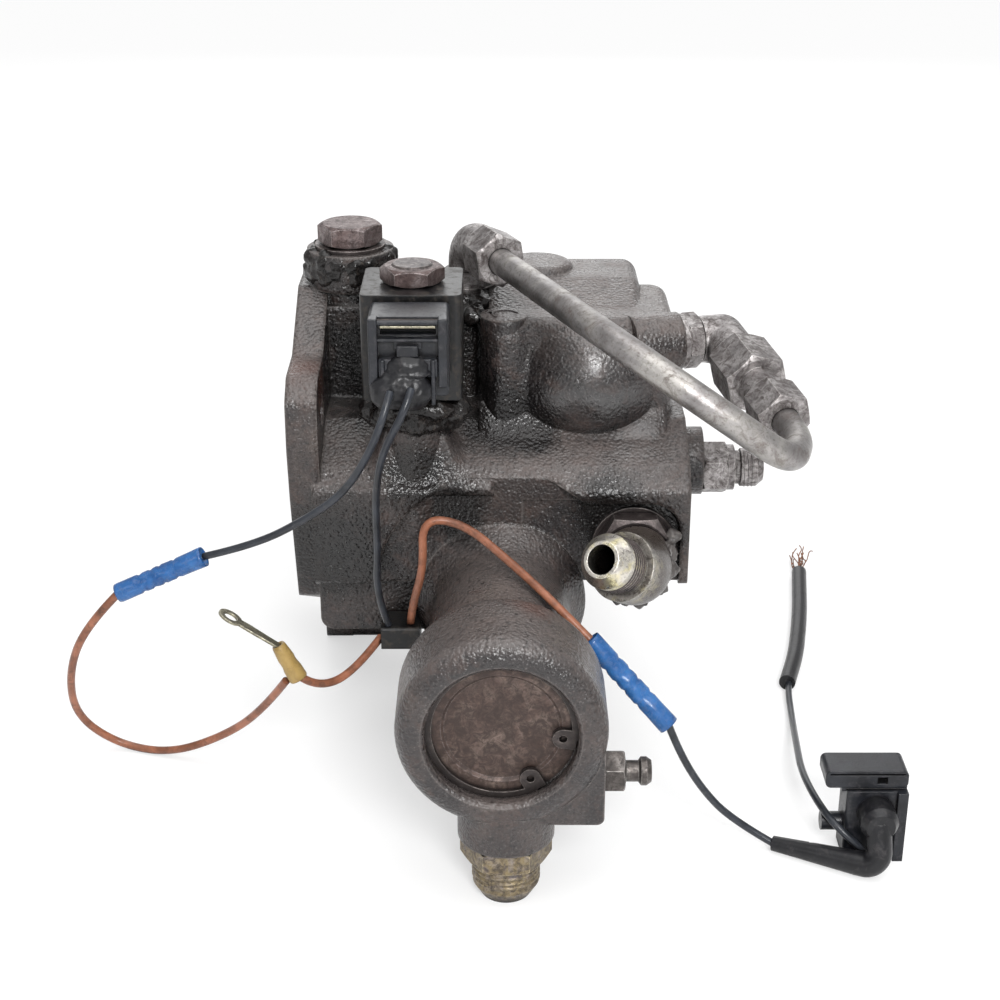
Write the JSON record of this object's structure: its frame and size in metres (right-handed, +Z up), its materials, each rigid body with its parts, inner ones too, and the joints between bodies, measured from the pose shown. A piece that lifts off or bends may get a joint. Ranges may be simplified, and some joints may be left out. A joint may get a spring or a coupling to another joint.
{
  "type": "clutch control valve",
  "caption": "Cast-iron clutch control valve with an inching piston and spool, solenoid pilot, accumulator, check valve, steel jumper tube, flare fittings and wiring leads.",
  "frame": {"origin": "a point on the face that bolts to the transmission case, between its oil ports", "axes": "+X away from the mounting face, +Y to the back, against the way the inching bore opens, +Z up"},
  "size_m": [0.3048, 0.2757, 0.1934],
  "materials": {
    "cast_iron": "satin",
    "rusted_steel": "matte",
    "zinc_plated_steel": "satin",
    "yellow_zinc_steel": "satin",
    "machined_steel": "satin",
    "spring_steel": "satin",
    "copper_washer": "satin",
    "black_rubber": "matte",
    "black_plastic": "satin",
    "black_insulation": "satin",
    "brown_insulation": "satin",
    "blue_plastic": "gloss",
    "yellow_plastic": "satin",
    "copper": "satin"
  },
  "bodies": {
    "housing": {"valve_body": "cast_iron", "end_plug": "rusted_steel", "end_plug_seal": "black_rubber", "snap_ring": "rusted_steel", "spool_end_plug": "zinc_plated_steel", "spool_end_plug_washer": "copper_washer", "accumulator_cap": "zinc_plated_steel", "accumulator_cap_washer": "copper_washer", "check_valve_cap": "rusted_steel", "check_cap_washer": "copper_washer", "solenoid_cartridge": "machined_steel", "core_tube": "machined_steel", "pole_piece": "machined_steel", "coil_seal": "black_rubber", "coil_nut": "rusted_steel", "solenoid_coil": "black_plastic", "connector_plug": "black_plastic", "connector_boot": "black_rubber", "connector_bail": "spring_steel", "piston_spring": "spring_steel", "spool_spring": "spring_steel", "accumulator_spring": "spring_steel", "check_spring": "spring_steel", "armature_spring": "spring_steel", "top_elbow": "zinc_plated_steel", "top_elbow_nut": "zinc_plated_steel", "side_elbow": "zinc_plated_steel", "side_elbow_nut": "zinc_plated_steel", "side_adapter": "zinc_plated_steel", "top_tube_nut": "zinc_plated_steel", "side_tube_nut": "zinc_plated_steel", "jumper_tube": "zinc_plated_steel", "front_elbow": "zinc_plated_steel", "front_elbow_washer": "zinc_plated_steel", "front_elbow_nut": "zinc_plated_steel", "inlet_adapter": "yellow_zinc_steel", "side_outlet_adapter": "zinc_plated_steel", "bleed_nipple": "zinc_plated_steel", "lead_clip": "black_plastic", "lead_to_left_splice": "black_insulation", "lead_to_clip": "black_insulation", "lead_left_loop": "brown_insulation", "lead_ring_to_clip": "brown_insulation", "lead_over_neck": "brown_insulation", "lead_to_connector": "black_insulation", "lead_tail": "black_insulation", "left_splice": "blue_plastic", "right_splice": "blue_plastic", "ring_terminal": "yellow_plastic", "loose_connector": "black_plastic", "loose_connector_boot": "black_rubber", "tail_sleeve": "black_rubber", "tail_strands": "copper"},
    "inching_piston": {"inching_piston": "machined_steel", "piston_cup_seal": "black_rubber"},
    "main_spool": {"main_spool": "machined_steel"},
    "accumulator_piston": {"accumulator_piston": "machined_steel"},
    "check_poppet": {"check_poppet": "machined_steel"},
    "armature": {"armature": "machined_steel"}
  },
  "joints": [
    {"name": "inching_piston_slide", "type": "slide", "parent": "housing", "child": "inching_piston", "axis": [0, 1, 0], "range_m": [0, 0.01], "stiffness_N_per_m": 3000, "springref_m": -0.01, "deforming": ["piston_spring"]},
    {"name": "main_spool_slide", "type": "slide", "parent": "housing", "child": "main_spool", "axis": [0, 1, 0], "range_m": [0, 0.01], "stiffness_N_per_m": 2000, "springref_m": -0.006, "deforming": ["spool_spring"]},
    {"name": "accumulator_piston_slide", "type": "slide", "parent": "housing", "child": "accumulator_piston", "axis": [0, 1, 0], "range_m": [0, 0.015], "stiffness_N_per_m": 6000, "springref_m": -0.01, "deforming": ["accumulator_spring"]},
    {"name": "check_poppet_slide", "type": "slide", "parent": "housing", "child": "check_poppet", "axis": [0, 0, 1], "range_m": [0, 0.003], "stiffness_N_per_m": 600, "springref_m": -0.004, "deforming": ["check_spring"]},
    {"name": "armature_slide", "type": "slide", "parent": "housing", "child": "armature", "axis": [0, 0, 1], "range_m": [0, 0.0015], "stiffness_N_per_m": 500, "springref_m": -0.003, "deforming": ["armature_spring"]}
  ],
  "couplings": [
    {"joint": "main_spool_slide", "follows": "inching_piston_slide", "ratio": 1}
  ]
}
